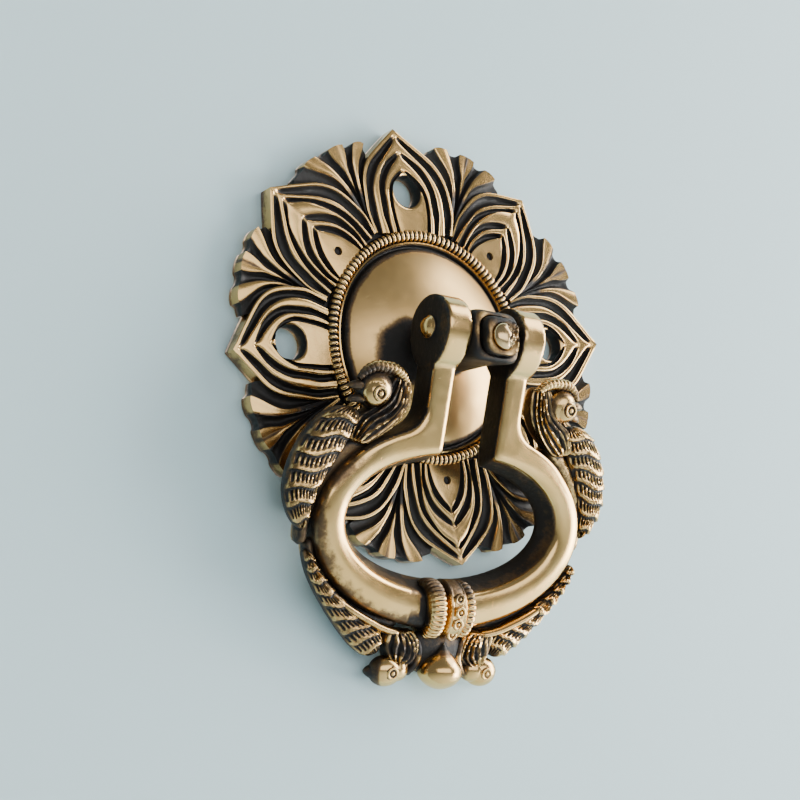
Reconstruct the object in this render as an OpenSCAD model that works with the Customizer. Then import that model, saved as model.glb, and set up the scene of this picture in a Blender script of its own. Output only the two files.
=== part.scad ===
// Door knocker: a cast rosette back plate, a hinge post clamped through its dome, and a
// horseshoe ring with four perched birds that swings on a cross pin.
// The door's face is the plane y = 0, the front looks along -Y, and +Z is up.

/* [Rosette] */
// Radius of the rosette to the tips of its petals
tip_r = 50; // [46:0.5:56]
// Thickness of the cast plate
plate_t = 4; // [3.4:0.1:5]
// How far the rosette sits turned on its post, anticlockwise from the front
rosette_turn = 8.5; // [0:0.5:22]
// Half width of a petal at its widest
petal_half_w = 12; // [11:0.1:12.6]
// Depth of the chiselled grooves
groove_d = 1.4; // [0.6:0.1:1.8]
// Grooves in one fan between two petals
fan_grooves = 4; // [3:1:5]
// Diameter of the three fixing screw holes
screw_hole_d = 7.4; // [4:0.1:8]
// Radius at which the screw holes sit
screw_hole_r = 36; // [34:0.5:37]
// Diameter of the punched dots in the petals without a screw hole
dot_d = 2; // [1:0.1:3]

/* [Dome] */
// Radius of the dome where it rises from the plate
dome_r = 22.4; // [21:0.1:23]
// Rise of the dome above the plate's front
dome_rise = 7; // [5:0.1:8]
// Wall thickness of the dome, which is hollow behind
dome_wall = 2.6; // [2:0.1:3.2]
// Number of beads in the milled ring around the dome
bead_count = 120; // [60:6:132]

/* [Hinge] */
// Distance of the pin's axis in front of the door
pin_reach = 21; // [20:0.1:22]
// Distance of the pin's axis below the rosette's centre
hub_drop = 1; // [0:0.1:2]
// Diameter of the hinge pin
pin_d = 3.6; // [3:0.1:4]
// Radial play of the pin in the post
pin_play = 0.08; // [0.02:0.01:0.1]
// Width of the post between the ears
post_w = 12.2; // [11:0.1:12.8]
// Height of the post
post_h = 11; // [10:0.1:12]
// Diameter of the stud through the post and the dome
stud_d = 6.4; // [6:0.1:6.8]
// Width of the square nut on the post's front
nut_w = 9; // [8:0.1:9.6]

/* [Ring] */
// Tilt of the ring towards the door at rest
rest_tilt = 16; // [12:0.5:16.5]
// Gap between the two ears
ear_gap = 14; // [13.6:0.1:14.6]
// Thickness of an ear
ear_t = 6.1; // [5.5:0.1:6.5]
// Radius of an ear's rim
ear_r = 7.1; // [6.8:0.1:7.4]
// Half width of the opening in the ring
opening_half_w = 28; // [27:0.1:28.5]
// Half height of the opening in the ring
opening_half_h = 14.9; // [14:0.1:15.2]
// Half width over the outside of the band
band_half_w = 34.7; // [34:0.1:35.2]
// Half height over the outside of the band
band_half_h = 22.2; // [21.6:0.1:22.6]
// Depth of the band from its front to its back
band_d = 7.5; // [7:0.1:7.8]

/* [Hidden] */
$fn = 96;

brass = "#b08d57";
dark_brass = "#6e5636";
steel = "#9a9a94";
eps = 0.01;

// Rosette
petal_count = 8;
sector = 360 / petal_count;
front_y = -plate_t;
petal_root_r = 26;
tip_half_angle = 52.5;
shoulder_r = 11;
shoulder_x = petal_half_w - shoulder_r;
shoulder_start = [shoulder_x + shoulder_r * cos(tip_half_angle), shoulder_r * sin(tip_half_angle)];
shoulder_z = tip_r - shoulder_start[0] / tan(tip_half_angle) - shoulder_start[1];
ridge_w = 1.2;
groove_w = 1.9;
fan_r = 0.965 * tip_r;
fan_notch_r = 0.88 * tip_r;
fan_half_angle = 9;
fan_root_r = 30;
fan_rim = 1.2;
screw_angles = [0, 90, 180];
dot_angles = [45, 135, 225, 270, 315];
dot_r = 30.3;
dot_depth = 1.2;
moat_r = 23.2;
moat_w = 1.6;
bead_r = 25.5;
bead_tube = 1.5;
bead_slit = 0.45;

// Dome, a spherical cap with a concentric hollow behind
cap_r = (dome_r * dome_r + dome_rise * dome_rise) / (2 * dome_rise);
cap_y = front_y - dome_rise + cap_r;
hollow_r = cap_r - dome_wall;
hollow_mouth_r = dome_r - 2.4;
crown_y = front_y - dome_rise;
seat_y = crown_y + dome_wall;
seat_r = 8.4;

// Post and clamp
pin_z = -hub_drop;
post_front_y = -28.6;
post_seat_y = crown_y + 1.2;
post_corner_r = 2.4;
nut_t = 2.3;
nut_gap = 0.04;
washer_t = 1.2;
washer_r = 7.4;
rear_nut_t = 4;
rear_nut_af = 10;
stud_play = 0.15;
peen_d = 7.2;
peen_h = 1.5;
pin_bore_d = pin_d + 2 * pin_play;
ear_play = 0.02;
pin_head_d = 5;
pin_head_h = 1.6;

// Ring, in its own frame: the pin's axis is the origin and the ring hangs straight down
band_front_y = -3.9;
band_back_y = band_front_y + band_d;
opening_z = -40.6;
band_z = -41.4;
neck_inner = ear_gap / 2;
neck_outer = neck_inner + 5.7;
neck_top_z = -9.2;
neck_fillet = 6;
ear_outer = neck_inner + ear_t;
collar_z = -59.6;
collar_r = 6;
collar_y = -1.6;
bud_z = -72.6;
bud_y = -3.9;
bud_r = 4.3;
bird_front_y = -4.4;
bird_back_y = 2.4;
door_gap = 0.05;

// Helpers

// Points of an ellipse's arc from one angle to another
function arc(cx, cz, a, b, from, to, steps) =
    [for (i = [0:steps]) let (t = from + (to - from) * i / steps) [cx + a * cos(t), cz + b * sin(t)]];

// Points of a circle's arc
function round_arc(c, r, from, to, steps) = arc(c[0], c[1], r, r, from, to, steps);

// Height of an upper ellipse edge at x
function ellipse_top(cz, a, b, x) = cz + b * sqrt(1 - x * x / (a * a));

// Stands a drawing in X and Z up in front of y, with its thickness towards the viewer
module stand(y, thickness) {
    translate([0, y, 0]) rotate([90, 0, 0]) linear_extrude(thickness) children();
}

// A solid of revolution about Y, drawn with its radius along X and its reach to the front along Y
module turned() {
    rotate([90, 0, 0]) rotate_extrude() children();
}

// A cylinder along Y from one depth to another
module rod_y(y0, y1, r) {
    translate([0, max(y0, y1), 0]) rotate([90, 0, 0]) cylinder(h = abs(y1 - y0), r = r);
}

// A cylinder along X, centred
module rod_x(length, r) {
    rotate([0, 90, 0]) cylinder(h = length, r = r, center = true);
}

module both_sides() {
    children();
    mirror([1, 0, 0]) children();
}

// Rosette

// One pointed petal along +Y, drawn inset from its true edge
module petal_shape(inset = 0) {
    side = concat(
        round_arc([shoulder_x, shoulder_z], shoulder_r - inset, tip_half_angle, 0, 6),
        [[petal_half_w - inset, petal_root_r]]
    );
    count = len(side);
    polygon(concat(
        [[0, tip_r - inset / sin(tip_half_angle)]],
        side,
        [for (i = [count - 1:-1:0]) [-side[i][0], side[i][1]]]
    ));
}

// The groove that follows a petal's edge at one inset
module petal_groove(inset) {
    difference() {
        petal_shape(inset);
        petal_shape(inset + groove_w);
        translate([-petal_half_w, 0]) square([2 * petal_half_w, petal_root_r + 2]);
    }
}

// A fan between two petals, with a short straight edge to each side of its blunt point
module fan_shape() {
    polygon([
        [0, 0],
        [fan_notch_r * sin(fan_half_angle), fan_notch_r * cos(fan_half_angle)],
        [fan_r * sin(fan_half_angle / 3), fan_r * cos(fan_half_angle / 3)],
        [-fan_r * sin(fan_half_angle / 3), fan_r * cos(fan_half_angle / 3)],
        [-fan_notch_r * sin(fan_half_angle), fan_notch_r * cos(fan_half_angle)]
    ]);
}

// Wedge grooves of a fan, all running from its root
module fan_wedges() {
    step = 2 * fan_half_angle / fan_grooves;
    for (i = [0:fan_grooves - 1]) {
        a = -fan_half_angle + step * (i + 0.5);
        rim_r = fan_notch_r + (fan_r - fan_notch_r) * (1 - abs(a) / fan_half_angle) - fan_rim;
        polygon([
            fan_root_r * [sin(a / 3), cos(a / 3)],
            rim_r * [sin(a - step * 0.3), cos(a - step * 0.3)],
            rim_r * [sin(a + step * 0.3), cos(a + step * 0.3)]
        ]);
    }
}

module rosette_outline() {
    circle(petal_root_r + 3);
    for (i = [0:petal_count - 1]) rotate(i * sector) {
        petal_shape();
        rotate(sector / 2) fan_shape();
    }
}

// Moves its children to a place on the rosette's face, in the turned pattern
module on_rosette(angle, r) {
    rotate([0, -(angle + rosette_turn), 0]) translate([r, 0, 0]) children();
}

module rosette_grooves() {
    stand(front_y + groove_d, groove_d + eps) rotate(rosette_turn) {
        for (i = [0:petal_count - 1]) {
            rotate(i * sector) petal_groove(ridge_w);
            rotate(i * sector) petal_groove(2 * ridge_w + groove_w);
            rotate((i + 0.5) * sector) fan_wedges();
        }
    }
}

module dome_body() {
    turned() intersection() {
        translate([0, -cap_y]) circle(cap_r);
        translate([0, plate_t - eps]) square([dome_r, dome_rise + 1]);
    }
    turned() translate([bead_r, plate_t]) circle(bead_tube, $fn = 32);
}

module dome_hollow() {
    turned() intersection() {
        translate([0, -cap_y]) circle(hollow_r);
        translate([0, -eps]) square([hollow_mouth_r, plate_t + dome_rise]);
    }
    translate([0, 0, pin_z]) rod_y(seat_y, eps, seat_r);
}

module bead_slits() {
    stand(front_y, bead_tube + eps)
        for (i = [0:bead_count - 1]) rotate(i * 360 / bead_count)
            translate([bead_r - 0.2, -bead_slit / 2]) square([bead_tube + 0.5, bead_slit]);
}

module back_plate() {
    color(brass) difference() {
        union() {
            stand(0, plate_t) rotate(rosette_turn) rosette_outline();
            dome_body();
        }
        rosette_grooves();
        dome_hollow();
        bead_slits();
        turned() translate([moat_r, plate_t]) square([moat_w, 2 * groove_d], center = true);
        for (a = screw_angles) on_rosette(a, screw_hole_r) rod_y(1, front_y - 1, screw_hole_d / 2);
        for (a = dot_angles) on_rosette(a, dot_r) rod_y(front_y + dot_depth, front_y - 1, dot_d / 2);
        translate([0, 0, pin_z]) rod_y(1, crown_y - 1, stud_d / 2 + stud_play);
    }
}

// Post and clamp

module rounded_bar(w, h, r) {
    square([w - 2 * r, h], center = true);
    square([w, h - 2 * r], center = true);
    for (x = [-1, 1], z = [-1, 1]) translate([x * (w / 2 - r), z * (h / 2 - r)]) circle(r);
}

module hinge_post() {
    color(dark_brass) translate([0, 0, pin_z]) difference() {
        stand(post_seat_y, post_seat_y - post_front_y) rounded_bar(post_w, post_h, post_corner_r);
        translate([0, 0, -pin_z]) translate([0, cap_y, 0]) sphere(cap_r + nut_gap, $fn = 128);
        rod_y(crown_y + 2, post_front_y - 1, stud_d / 2 + stud_play);
        translate([0, -pin_reach, 0]) rod_x(post_w + 1, pin_bore_d / 2);
    }
}

// Threaded stud that clamps the post to the dome, its front end hammered over the nut
module post_stud() {
    stud_back_y = -0.6;
    nut_front_y = post_front_y - nut_gap - nut_t;
    color(steel) translate([0, 0, pin_z]) difference() {
        union() {
            rod_y(stud_back_y, nut_front_y, stud_d / 2);
            translate([0, nut_front_y - nut_gap, 0]) turned() intersection() {
                scale_r = (peen_d * peen_d / 4 + peen_h * peen_h) / (2 * peen_h);
                translate([0, peen_h - scale_r]) circle(scale_r);
                translate([0, -nut_gap]) square([peen_d / 2, peen_h + nut_gap]);
            }
        }
        translate([0, -pin_reach, 0]) rod_x(post_w + 1, pin_bore_d / 2);
    }
}

module post_nut() {
    color(dark_brass) translate([0, 0, pin_z]) difference() {
        stand(post_front_y - nut_gap, nut_t) rounded_bar(nut_w, nut_w, 1.8);
        rod_y(post_front_y + 1, post_front_y - nut_t - 1, stud_d / 2 + nut_gap);
    }
}

module stud_washer() {
    color(steel) translate([0, 0, pin_z]) difference() {
        rod_y(seat_y + nut_gap + washer_t, seat_y + nut_gap, washer_r);
        rod_y(0, seat_y - 1, stud_d / 2 + stud_play);
    }
}

module stud_rear_nut() {
    nut_y = seat_y + 2 * nut_gap + washer_t;
    color(steel) translate([0, 0, pin_z]) difference() {
        translate([0, nut_y + rear_nut_t, 0]) rotate([90, 0, 0])
            cylinder(h = rear_nut_t, d = rear_nut_af / cos(30), $fn = 6);
        rod_y(nut_y + rear_nut_t + 1, nut_y - 1, stud_d / 2 + nut_gap);
    }
}

// Ring

// The band's outside, with the two necks running up from it
module band_outside() {
    join_z = ellipse_top(band_z, band_half_w, band_half_h, neck_outer);
    polygon(arc(0, band_z, band_half_w, band_half_h, 0, 360, 120));
    translate([-neck_outer, join_z - 4]) square([2 * neck_outer, neck_top_z - join_z + 4]);
    both_sides() difference() {
        translate([neck_outer - 1, join_z - 4]) square([neck_fillet, neck_fillet + 3.4]);
        translate([neck_outer + neck_fillet, join_z + neck_fillet / 2]) circle(neck_fillet);
        translate([neck_outer + neck_fillet / 2, join_z + neck_fillet / 2])
            square([neck_fillet, neck_fillet]);
    }
}

// The opening, with the slot between the necks that is open at the top
module band_inside() {
    polygon(arc(0, opening_z, opening_half_w, opening_half_h, 0, 360, 120));
    translate([-neck_inner, opening_z]) square([2 * neck_inner, -opening_z]);
}

// Ear of the hinge, with the flat that runs from its rim down to the neck
module ear() {
    rim_z = -3;
    rim_y = sqrt(ear_r * ear_r - rim_z * rim_z);
    translate([neck_inner, 0, 0]) rotate([0, 90, 0]) cylinder(h = ear_t, r = ear_r);
    translate([neck_inner, 0, 0]) rotate([0, 90, 0]) linear_extrude(ear_t)
        polygon([[0, 0], [-rim_z, -rim_y], [-neck_top_z, band_front_y - 0.4],
                 [-neck_top_z, band_back_y], [-rim_z, rim_y]]);
}

// Outline of an upper bird: crest and head at the neck, beak outward, tail down the shoulder
module upper_bird_shape() {
    polygon(concat(
        [[13.6, -18], [14.6, -12.5]],
        round_arc([25.2, -13.8], 5.6, 140, 20, 8),
        [[34, -15.4], [31.8, -17.4]],
        arc(29, -32, 13, 14, 60, -40, 10),
        [[36.8, -46.4], [31, -42], [22, -27], [15.8, -22.4]]
    ));
}

// Outline of a lower bird: tail up against the upper bird's, neck at the bud, head turned outward
module lower_bird_shape() {
    polygon(concat(
        [[30, -46], [36.6, -46.8]],
        arc(12, -46, 24.8, 26, -8, -62, 8),
        [[18, -70]],
        arc(12.6, -72.6, 5.2, 3.4, 10, -170, 12),
        [[5, -68.5], [6.4, -62], [20, -57]]
    ));
}

// Raised feather rows across a wing, each a thin bar
module feather_rows(from, to, count, length, angle) {
    for (i = [0:count - 1]) {
        p = from + (to - from) * i / (count - 1);
        translate([p[0], p[1]]) rotate(angle) square([length, 1.1], center = true);
    }
}

module bird_bodies() {
    relief = 1.1;
    stand(bird_back_y, bird_back_y - bird_front_y) {
        upper_bird_shape();
        lower_bird_shape();
    }
    stand(bird_front_y + eps, relief + eps) {
        feather_rows([32.5, -23], [37, -39.5], 7, 8, -18);
        feather_rows([32, -54.5], [21, -65], 5, 6, 40);
        translate([25.2, -13.8]) circle(3.6);
        translate([12.6, -72.6]) circle(2.6);
    }
    for (eye = [[25.2, -13.8], [12.6, -72.6]])
        translate([eye[0], bird_front_y - relief, eye[1]]) sphere(0.9, $fn = 24);
}

// Three bands wrapped round the bottom of the ring, the middle one the thickest
module collar() {
    for (band = [[-5.2, collar_r - 0.5, 4.4], [0.2, collar_r, 4.6], [4.9, collar_r - 0.7, 3]])
        translate([band[0], collar_y, collar_z]) rod_x(band[2], band[1]);
    translate([0.2, collar_y, collar_z]) rod_x(13.4, collar_r - 1.4);
}

module bud() {
    translate([0, bud_y, bud_z]) sphere(bud_r, $fn = 64);
    translate([0, bud_y, bud_z + 2]) cylinder(h = 8, r1 = 3.4, r2 = 2);
}

module ring_hanging() {
    difference() {
        union() {
            stand(band_back_y, band_d) difference() {
                band_outside();
                band_inside();
            }
            both_sides() ear();
            both_sides() bird_bodies();
            collar();
            bud();
        }
        rod_x(2 * ear_outer + 1, pin_d / 2 + ear_play);
    }
}

// The ring as it rests, its back flat where the collar, the bud and the lower heads meet the door
module knocker_ring() {
    color(brass) difference() {
        translate([0, -pin_reach, pin_z]) rotate([rest_tilt, 0, 0]) ring_hanging();
        translate([-tip_r, -door_gap, -2 * tip_r]) cube([2 * tip_r, 20, 2 * tip_r]);
    }
}

// Cross pin, both ends hammered to low domes against the ears
module hinge_pin() {
    head_cap_r = (pin_head_d * pin_head_d / 4 + pin_head_h * pin_head_h) / (2 * pin_head_h);
    color(brass) translate([0, -pin_reach, pin_z]) {
        rod_x(2 * ear_outer, pin_d / 2);
        both_sides() translate([ear_outer + nut_gap, 0, 0]) rotate([0, 90, 0]) rotate_extrude()
            intersection() {
                translate([0, pin_head_h - head_cap_r]) circle(head_cap_r);
                translate([0, -nut_gap]) square([pin_head_d / 2, pin_head_h + nut_gap]);
            }
    }
}

back_plate();
hinge_post();
post_stud();
post_nut();
stud_washer();
stud_rear_nut();
knocker_ring();
hinge_pin();
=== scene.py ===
import math
from functools import partial

import bmesh
import bpy
import numpy as np
import openvdb
from mathutils import Matrix, Vector


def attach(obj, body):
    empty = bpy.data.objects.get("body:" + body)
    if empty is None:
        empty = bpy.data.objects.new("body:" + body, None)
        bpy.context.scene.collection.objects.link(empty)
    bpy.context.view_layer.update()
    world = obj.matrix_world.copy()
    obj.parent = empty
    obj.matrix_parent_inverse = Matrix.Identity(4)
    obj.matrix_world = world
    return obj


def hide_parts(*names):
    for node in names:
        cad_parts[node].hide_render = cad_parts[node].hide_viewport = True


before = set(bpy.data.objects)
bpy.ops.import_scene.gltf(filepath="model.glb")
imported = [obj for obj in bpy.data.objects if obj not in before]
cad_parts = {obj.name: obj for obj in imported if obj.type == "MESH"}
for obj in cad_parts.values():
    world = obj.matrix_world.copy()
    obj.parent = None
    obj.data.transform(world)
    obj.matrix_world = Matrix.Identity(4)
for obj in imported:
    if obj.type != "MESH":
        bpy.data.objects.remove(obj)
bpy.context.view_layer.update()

MM = 0.001
WELD = 0.002           # points closer than this, in millimetres, become one
rng = np.random.default_rng(7)

# ---- sizes, in millimetres
PLATE_T = 4.0          # rosette thickness at the petals
ROSETTE_TURN = 8.5     # the rosette sits turned on its post, degrees
GROOVE_D = 1.45        # depth of the widest chisel grooves
HOLE_R, HOLE_AT = 3.7, 36.0
DOT_R, DOT_AT = 1, 30.3
DOME_R, DOME_RISE = 22.4, 7.0
HOLLOW_R, HOLLOW_D = 20.5, 8.4   # mouth and depth of the hollow behind the dome
HOLED_PETALS = 0, 2, 4   # petals with a screw hole, counted anticlockwise from the right
BEAD_AT, BEAD_Y = 25.65, -3.55   # the middle of the bead ring's section
STUD_Z = -1.0          # height of the hinge axis and the stud
BEADS = 128


# ---- small maths helpers
def smooth(a, b, x):
    t = np.clip((np.asarray(x, float) - a) / (b - a), 0, 1)
    return t * t * (3 - 2 * t)


def curve(xs, ys, x):
    """Smooth interpolation through a few points that never overshoots them."""
    xs, ys, x = (np.asarray(v, float) for v in (xs, ys, x))
    h, d = np.diff(xs), np.diff(ys) / np.diff(xs)
    m = np.r_[d[0], (d[:-1] + d[1:]) / 2, d[-1]]
    m[1:-1][d[:-1] * d[1:] <= 0] = 0
    for i, s in enumerate(d):
        if s == 0:
            m[i] = m[i + 1] = 0
        else:
            r = math.hypot(m[i] / s, m[i + 1] / s)
            if r > 3:
                m[i], m[i + 1] = 3 * m[i] / r, 3 * m[i + 1] / r
    k = np.clip(np.searchsorted(xs, x, "right") - 1, 0, len(h) - 1)
    t = (x - xs[k]) / h[k]
    return (
        (2 * t**3 - 3 * t**2 + 1) * ys[k] + (t**3 - 2 * t**2 + t) * h[k] * m[k]
        + (3 * t**2 - 2 * t**3) * ys[k + 1] + (t**3 - t**2) * h[k] * m[k + 1]
    )


WAVES = rng.normal(size=(24, 3)), rng.uniform(0, 2 * np.pi, 24)


def waver(p, size):
    """Slow unevenness, about -1 to 1, at the points p, with features about size mm across."""
    k, phase = WAVES
    total = np.zeros(len(p))
    for i in range(len(phase)):
        total += np.sin(p @ k[i] * (2.2 / size) * (0.6 + 0.05 * i) + phase[i])
    return total / 5.0


def full_turn(n):
    """n angles spread evenly over a full turn."""
    return np.linspace(0, 2 * np.pi, n, endpoint=False)


# ---- mesh helpers
def grid_faces(rows, cols, wrap_rows=False, wrap_cols=False):
    """Quads of a grid of points, closed on itself where asked."""
    r = np.arange(rows if wrap_rows else rows - 1)
    c = np.arange(cols if wrap_cols else cols - 1)
    r, c = (g.ravel() for g in np.meshgrid(r, c, indexing="ij"))
    r1, c1 = (r + 1) % rows, (c + 1) % cols
    return np.stack([r * cols + c, r * cols + c1, r1 * cols + c1, r1 * cols + c], 1)


def tube_faces(rows, around):
    """Faces of a tube with both ends capped."""
    faces = grid_faces(rows, around, False, True).tolist()
    return faces + [list(range(around)), list(range((rows - 1) * around, rows * around))]


def placed(name, data):
    """A new object in the scene."""
    ob = bpy.data.objects.new(name, data)
    bpy.context.scene.collection.objects.link(ob)
    return ob


def new_object(name, points, faces):
    """A mesh object from points in millimetres, with doubled points welded and its faces pointing out."""
    mesh = bpy.data.meshes.new(name)
    mesh.from_pydata((np.asarray(points, float) * MM).tolist(), [], [list(map(int, f)) for f in faces])
    bm = bmesh.new()
    bm.from_mesh(mesh)
    bmesh.ops.remove_doubles(bm, verts=bm.verts, dist=WELD * MM)
    bmesh.ops.dissolve_degenerate(bm, edges=bm.edges, dist=WELD * MM / 2)
    bmesh.ops.recalc_face_normals(bm, faces=bm.faces)
    bm.to_mesh(mesh)
    bm.free()
    return placed(name, mesh)


def close_to_back(ob):
    """Extrudes the open rim of a relief sheet straight back to the plane y = 0 and caps it."""
    bm = bmesh.new()
    bm.from_mesh(ob.data)
    rim = [e for e in bm.edges if e.is_boundary]
    made = bmesh.ops.extrude_edge_only(bm, edges=rim)["geom"]
    for v in made:
        if isinstance(v, bmesh.types.BMVert):
            v.co.y = 0.0
    loop = [e for e in made if isinstance(e, bmesh.types.BMEdge) and e.is_boundary]
    bmesh.ops.contextual_create(bm, geom=loop)
    bmesh.ops.triangulate(bm, faces=[f for f in bm.faces if len(f.verts) > 4])
    bmesh.ops.recalc_face_normals(bm, faces=bm.faces)
    bm.to_mesh(ob.data)
    bm.free()
    return ob


def apply_modifiers(ob):
    dg = bpy.context.evaluated_depsgraph_get()
    mesh = bpy.data.meshes.new_from_object(ob.evaluated_get(dg), depsgraph=dg)
    ob.modifiers.clear()
    ob.data = mesh
    return ob


def join_solids(name, solids, cutters=()):
    """One closed solid from several: the union of solids with the cutters taken away."""
    base = solids[0]
    base.name = base.data.name = name
    for kind, members in (("UNION", solids[1:]), ("DIFFERENCE", cutters)):
        for o in members:
            m = base.modifiers.new(kind, "BOOLEAN")
            m.operation, m.object, m.solver = kind, o, "MANIFOLD"
    apply_modifiers(base)
    for o in [*solids[1:], *cutters]:
        bpy.data.objects.remove(o)
    base.data.name = name
    return base


def lathe(name, profile, turns=256, centre=(0, 0)):
    """A closed solid of revolution about the y axis at (x, z) = centre, from a closed (radius, y) outline."""
    a = full_turn(turns)
    r, y = np.array(profile, float).T
    pts = np.stack([np.outer(np.cos(a), r), np.tile(y, (turns, 1)), np.outer(np.sin(a), r)], -1)
    pts = pts + np.array([centre[0], 0, centre[1]])
    return new_object(name, pts.reshape(-1, 3), grid_faces(turns, len(r), True, True))


def turned(points, degrees):
    """Points turned about the y axis, anticlockwise as seen from the front (-y)."""
    a = math.radians(degrees)
    x, z = points[..., 0], points[..., 2]
    c, s = math.cos(a), math.sin(a)
    return np.stack([x * c - z * s, points[..., 1], x * s + z * c], -1)


# ---- rosette
# Each carved line of a petal runs from the bead ring up to a point on the petal's axis. A row holds the
# height of that point, then the line's distance from the axis at the shares STATIONS of the way up. Flats and
# grooves take turns between the lines, from the outside in.
PETAL_FOOT = 26.0
FAN_R = 49.0           # reach of the fans between the petals
STATIONS = [0, 0.25, 0.5, 0.7, 0.85, 1]
RIM = [50, 10.8, 12.1, 11.7, 9.3, 5, 0]
HOLED = [
    RIM,
    [49, 10.1, 11.35, 10.9, 8.7, 4.7, 0],
    [47.9, 8.9, 9.7, 9.1, 6.7, 3.3, 0],
    [45.3, 7, 7.9, 7.8, 6.5, 4.3, 0],
    [44.2, 5.8, 6.4, 6.3, 5.1, 3, 0],
    [41.3, 4.8, 5.3, 5.35, 4.7, 3.1, 0],
    [40.5, 3.6, 4.2, 4.5, 4, 2.45, 0],
]
DOTTED = [
    RIM,
    [49.2, 10.2, 11.5, 11.1, 8.8, 4.8, 0],
    [48, 9.2, 9.6, 8.9, 6.4, 3.3, 0],
    [46.9, 8.5, 8.85, 8.2, 5.85, 3.05, 0],
    [45.3, 6.9, 7.4, 6.95, 5.4, 3.5, 0],
    [41.3, 6.3, 6.8, 6.55, 5.3, 3.1, 0],
    [39.8, 5.6, 5.8, 5.2, 3.9, 2.2, 0],
    [38.2, 4.9, 5.1, 4.6, 3.5, 2, 0],
    [36.6, 4.4, 4.1, 3.3, 2.3, 1.25, 0],
]


# The petals were cut by hand. For each: how far its tip stands beyond the common length, how far the tip
# leans to the right as the petal is seen pointing up, and how far its middle is pushed the same way.
IRREGULAR = [
    (2.2, 0, 0), (-0.5, -1.2, 0), (0.6, -2.4, 0), (0.6, -1.4, 0),
    (0, 0, 1.5), (0, 0, 0), (-0.8, -1.2, 0), (0, 0, 0),
]
# How far each fan's left side stands out beyond its right
FAN_LEAN = [0, -0.8, 1.5, 0.4, 0, 0.6, 0, 0]


def skewed(x, u, which):
    """Petal coordinates (across, along) after the petal's own irregularity."""
    longer, lean, push = IRREGULAR[which]
    k = np.clip((u - PETAL_FOOT) / 24, 0, 1.1)
    return x + lean * k**2 + push * np.sin(np.pi * np.clip(k, 0, 1)), u + longer * k**2.5


def petal_line(row, s):
    apex, widths = row[0], row[1:]
    return np.stack([curve(STATIONS, widths, s), PETAL_FOOT + s * (apex - PETAL_FOOT)], -1)


def groove_depth(width):
    """A wide groove is cut to full depth, a narrow one less."""
    return GROOVE_D * (1 - np.exp(-width / 0.75))


def strip(a, b, shares, carved, fade):
    """Points across the strip between two carved lines, as (rows, shares, 3) of (x, depth, u)."""
    t = np.asarray(shares)[None, :, None]
    flat = a[:, None, :] * (1 - t) + b[:, None, :] * t
    width = np.linalg.norm(a - b, axis=1)[:, None] * fade[:, None]
    q = np.abs(2 * np.asarray(shares)[None] - 1)
    if carved:
        depth = groove_depth(width) * (1 - q**2.6)
    else:
        depth = np.minimum(0.16, 0.12 * width) * q**4
    return np.stack([flat[..., 0], depth, flat[..., 1]], -1)


GROOVE_SHARES = [0, 0.08, 0.2, 0.38, 0.62, 0.8, 0.92]
FLAT_SHARES = [0, 0.12, 0.35, 0.65, 0.88]


def petal(kind, which):
    """One petal, carved along the lines of its kind."""
    angle, rows = 45 * which, 62
    s = np.linspace(0, 1, rows)
    lines = [petal_line(row, s) for row in kind]
    wobble = rng.uniform(0, 6.28, len(lines))
    for i, line in enumerate(lines[1:], 1):
        line[:, 0] *= 1 + 0.014 * np.sin(5 * s + wobble[i]) + 0.008 * np.sin(13 * s + 2 * wobble[i])
        if i < len(lines) - 1:
            line[:, 0] += (0.13 if i % 2 else -0.13) * smooth(0.6, 1.6, line[:, 0])
        line[-1, 0] = 0
    fade = 1 - smooth(0.93, 0.995, s)
    sheets = []
    for i in range(len(lines) - 1):
        carved = i % 2 == 1
        sheets.append(strip(lines[i], lines[i + 1], GROOVE_SHARES if carved else FLAT_SHARES, carved, fade))
    axis = np.stack([np.zeros(rows), lines[-1][:, 1]], -1)
    field = strip(lines[-1], axis, np.linspace(0, 1, 7), False, np.zeros(rows))
    field[..., 1] += 0.05 * np.exp(-8 * np.linspace(0, 1, 7))
    half = np.concatenate(sheets + [field], 1)
    sheet = np.concatenate([half, half[:, -2::-1] * [-1, 1, 1]], 1)
    n, m = sheet.shape[:2]
    pts = sheet.reshape(-1, 3)
    pts[:, 1] += -PLATE_T + 0.05 * waver(pts * [1, 0, 1] + angle, 9)
    pts[:, 0], pts[:, 2] = skewed(pts[:, 0], pts[:, 2], which)
    pts = turned(pts, angle - 90 + ROSETTE_TURN)
    ob = new_object("petal", pts, grid_faces(n, m))
    return close_to_back(ob)


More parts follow.
